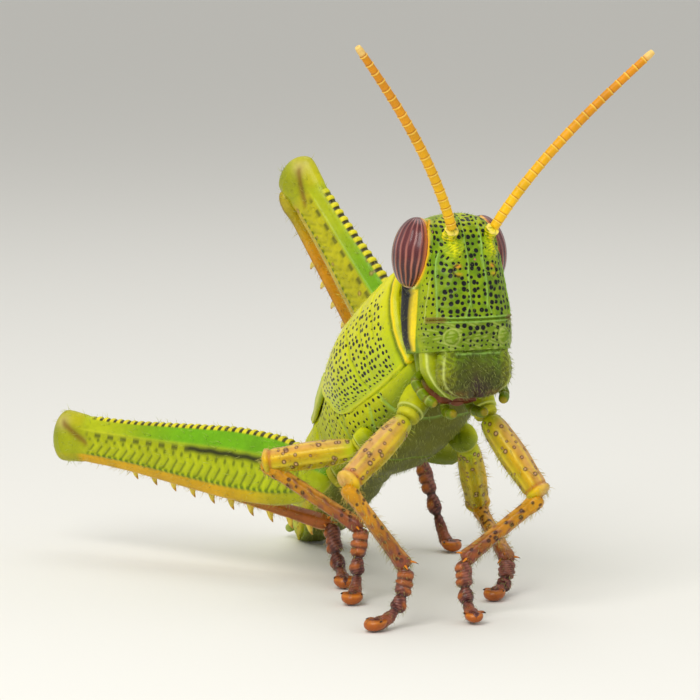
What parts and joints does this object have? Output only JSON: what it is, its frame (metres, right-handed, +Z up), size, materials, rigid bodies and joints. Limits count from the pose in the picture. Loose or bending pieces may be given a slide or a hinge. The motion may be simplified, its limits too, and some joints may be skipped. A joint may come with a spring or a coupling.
{
  "type": "grasshopper",
  "caption": "Life-size still model of a green grasshopper nymph, standing head-up on its feet with long hind legs folded and feelers spread.",
  "frame": {"origin": "on the floor, under the centre of the model's bounding box", "axes": "-Y ahead of the face, +X toward the animal's left side, +Z up"},
  "size_m": [0.022, 0.0314, 0.0301],
  "materials": {
    "lime_shell": "glossy lime green cuticle pitted with small black dots",
    "green_head": "glossy green cuticle closely pitted with black",
    "eye": "glossy maroon compound eye with paler upright stripes",
    "mouth": "satin yellow-green to brown cuticle",
    "feeler": "yellow to orange, paler ring at each joint",
    "foot": "dark red-brown cuticle with orange-brown soft pads",
    "shin": "orange-brown mottled cuticle with pale spines",
    "hind_thigh": "lime to olive cuticle with herringbone and beaded keels",
    "thigh": "yellow cuticle with brown ring spots",
    "belly": "olive-green satin cuticle with fine pale hairs"
  },
  "bodies": {
    "root": {"head": "green_head", "neck": "belly", "pronotum": "lime_shell", "prosternum": "belly", "mesothorax": "belly", "metathorax": "belly", "abdomen_1": "belly", "abdomen_2": "belly", "abdomen_3": "belly", "abdomen_4": "belly", "abdomen_5": "belly", "abdomen_tip": "belly", "labrum": "green_head", "mandible_right": "mouth", "mandible_left": "mouth", "labium": "mouth", "maxillary_palp_right": "mouth", "maxillary_palp_left": "mouth", "labial_palp_right": "mouth", "labial_palp_left": "mouth", "eye_right": "eye", "eye_left": "eye", "scape_right": "green_head", "scape_left": "green_head", "feeler_right": "feeler", "feeler_left": "feeler", "wing_pad_right": "lime_shell", "wing_pad_left": "lime_shell", "cercus_right": "belly", "cercus_left": "belly", "fore_right_coxa": "belly", "fore_right_femur": "thigh", "fore_right_tibia": "shin", "fore_right_tarsus": "foot", "fore_left_coxa": "belly", "fore_left_femur": "thigh", "fore_left_tibia": "shin", "fore_left_tarsus": "foot", "middle_right_coxa": "belly", "middle_right_femur": "thigh", "middle_right_tibia": "shin", "middle_right_tarsus": "foot", "middle_left_coxa": "belly", "middle_left_femur": "thigh", "middle_left_tibia": "shin", "middle_left_tarsus": "foot", "hind_right_coxa": "belly", "hind_right_femur": "hind_thigh", "hind_right_tibia": "shin", "hind_right_tarsus": "foot", "hind_left_coxa": "belly", "hind_left_femur": "hind_thigh", "hind_left_tibia": "shin", "hind_left_tarsus": "foot"}
  },
  "joints": []
}
